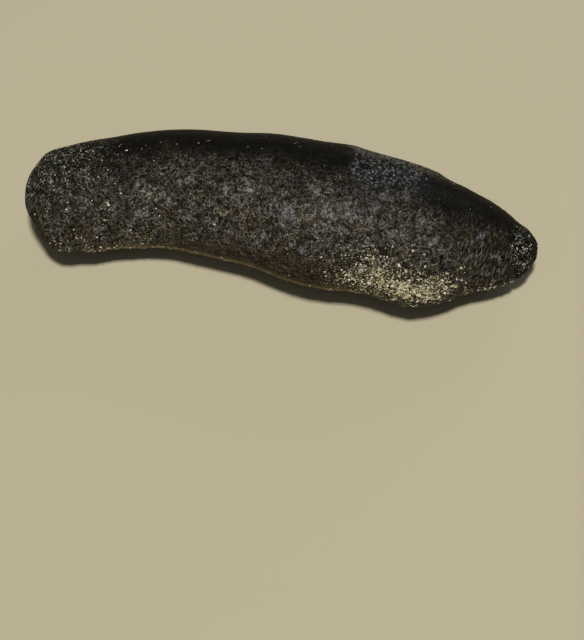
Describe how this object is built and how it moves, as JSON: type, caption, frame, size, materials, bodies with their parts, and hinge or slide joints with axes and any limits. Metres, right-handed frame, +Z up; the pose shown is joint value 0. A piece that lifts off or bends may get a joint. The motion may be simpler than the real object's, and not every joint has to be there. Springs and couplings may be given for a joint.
{
  "type": "sea cucumber",
  "caption": "Dark smooth-skinned sea cucumber at life size, resting on its tube feet, mouth and tentacles under its broad front end.",
  "frame": {"origin": "bottom centre of the box round the animal, on the ground that its tube feet stand on", "axes": "+X from the front end towards the rear end, +Y towards the animal's right side, +Z up out of its back"},
  "size_m": [0.1492, 0.0548, 0.0333],
  "materials": {
    "back_skin": "wet leathery skin, near-black brown with fine lilac-grey mottling",
    "sole_skin": "wet leathery skin, olive brown with paler tube feet",
    "lip_skin": "wet brown lip, finely wrinkled",
    "tentacle_skin": "wet grey-brown tentacles",
    "anal_skin": "wet near-black puckered skin",
    "sand": "coarse pale sand grains stuck to the skin"
  },
  "bodies": {
    "root": {"front_back": "back_skin", "trunk_1_back": "back_skin", "trunk_2_back": "back_skin", "trunk_3_back": "back_skin", "trunk_4_back": "back_skin", "rear_back": "back_skin", "front_sole": "sole_skin", "trunk_1_sole": "sole_skin", "trunk_2_sole": "sole_skin", "trunk_3_sole": "sole_skin", "trunk_4_sole": "sole_skin", "rear_sole": "sole_skin", "mouth_lip": "lip_skin", "tentacle_crown": "tentacle_skin", "anal_cap": "anal_skin"}
  },
  "joints": []
}
